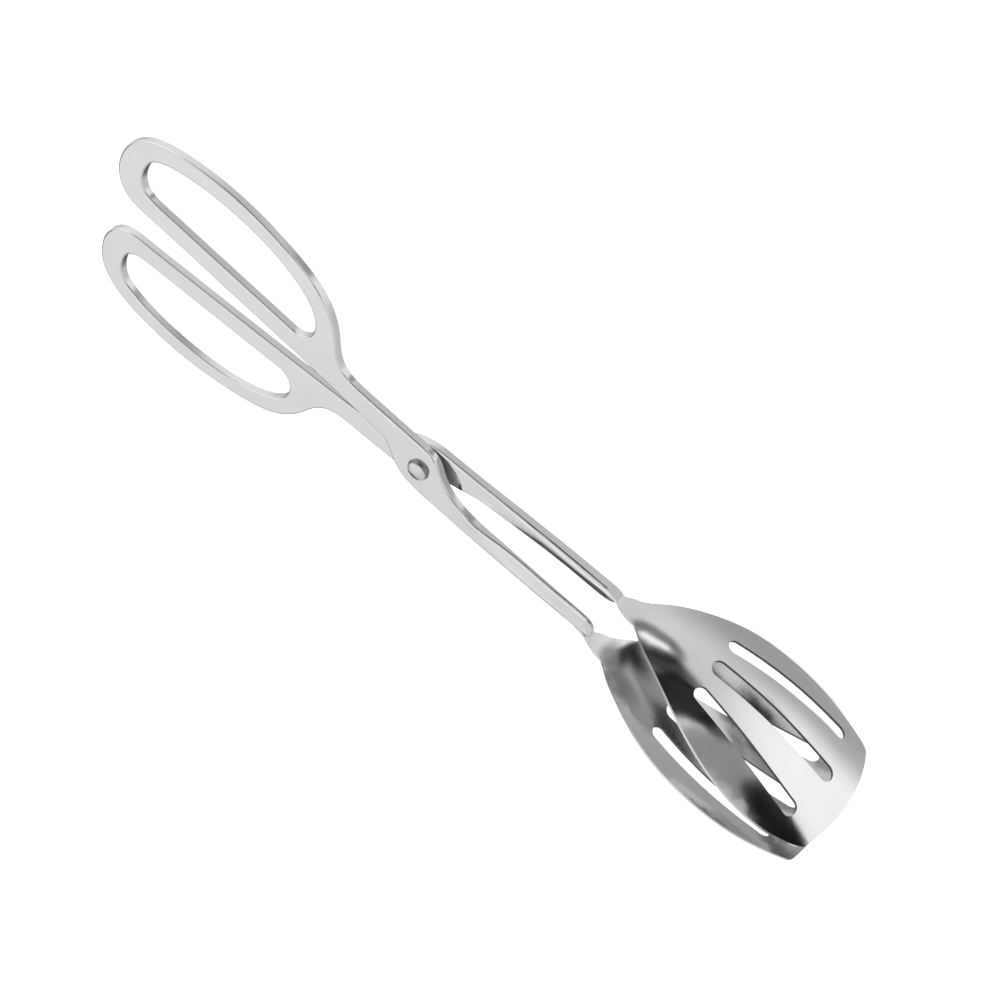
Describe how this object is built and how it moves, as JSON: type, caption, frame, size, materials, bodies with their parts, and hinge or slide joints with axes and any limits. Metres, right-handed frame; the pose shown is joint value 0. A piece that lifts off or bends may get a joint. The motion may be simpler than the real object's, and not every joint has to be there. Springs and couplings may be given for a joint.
{
  "type": "slotted serving tongs",
  "caption": "Scissor-action serving tongs in pressed sheet steel, with closed finger loops, crossed arms on a rivet and slotted spoon-shaped bowls.",
  "frame": {"origin": "middle of the underside of the bounding box", "axes": "+X from the finger loops to the bowls, +Y across the handles on the front half's loop side, +Z along the rivet towards its domed head"},
  "size_m": [0.2644, 0.0812, 0.0515],
  "materials": {
    "satin_steel": "fine satin with soft highlights",
    "rivet_steel": "tumbled, a little smoother than the sheet"
  },
  "bodies": {
    "front": {"front_half": "satin_steel", "pivot_rivet": "rivet_steel", "pivot_bush": "rivet_steel", "tail_washer": "rivet_steel"},
    "rear": {"rear_half": "satin_steel"}
  },
  "joints": [
    {"name": "scissor_pivot", "type": "hinge", "parent": "front", "child": "rear", "pos_m": [-0.0168, 0, 0.02538], "axis": [0, 0, 1], "range_deg": [-1.5, 40]}
  ]
}
